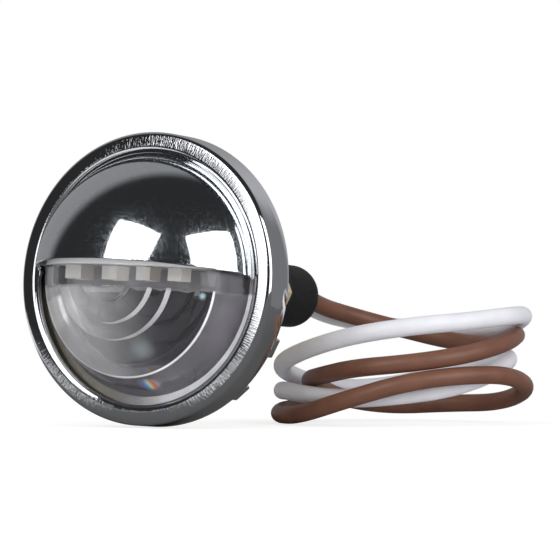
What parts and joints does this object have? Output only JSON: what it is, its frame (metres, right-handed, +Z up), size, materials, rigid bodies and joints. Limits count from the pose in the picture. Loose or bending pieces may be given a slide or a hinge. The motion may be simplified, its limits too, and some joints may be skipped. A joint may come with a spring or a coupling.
{
  "type": "number plate lamp",
  "caption": "Round chrome number plate lamp with a half-dome hood, a stepped clear lens, a threaded hollow stud with its nut, and two loose supply wires.",
  "frame": {"origin": "centre of the hub's flat rear seat, on the stud's axis", "axes": "+Y out of the back along the stud, -Y forwards out of the lamp's face, +Z up with the hood above the window, +X to the right seen from the front"},
  "size_m": [0.0689, 0.0861, 0.046],
  "materials": {
    "chrome_sheet": "bright chrome plate on pressed steel",
    "clear_lens": "clear moulded plastic",
    "black_rubber": "smooth black rubber",
    "zinc_steel": "yellow zinc plate on steel",
    "bracket_steel": "bare steel strip",
    "circuit_board": "white solder mask",
    "led_package": "white moulded LED package",
    "chip_black": "black chip body",
    "brown_wire": "satin brown wire insulation",
    "white_wire": "satin white wire insulation"
  },
  "bodies": {
    "root": {"chrome_cover": "chrome_sheet", "lens": "clear_lens", "lens_gasket": "black_rubber", "base_plate": "zinc_steel", "board_bracket": "bracket_steel", "led_board": "circuit_board", "led_1": "led_package", "led_2": "led_package", "led_3": "led_package", "led_4": "led_package", "resistor_1": "chip_black", "resistor_2": "chip_black", "diode": "chip_black", "hollow_stud": "zinc_steel", "lock_washer": "zinc_steel", "hex_nut": "zinc_steel", "rubber_boot": "black_rubber", "brown_wire_inner": "brown_wire", "white_wire_inner": "white_wire", "brown_lead": "brown_wire", "white_lead": "white_wire", "wire_coil": "brown_wire"}
  },
  "joints": []
}
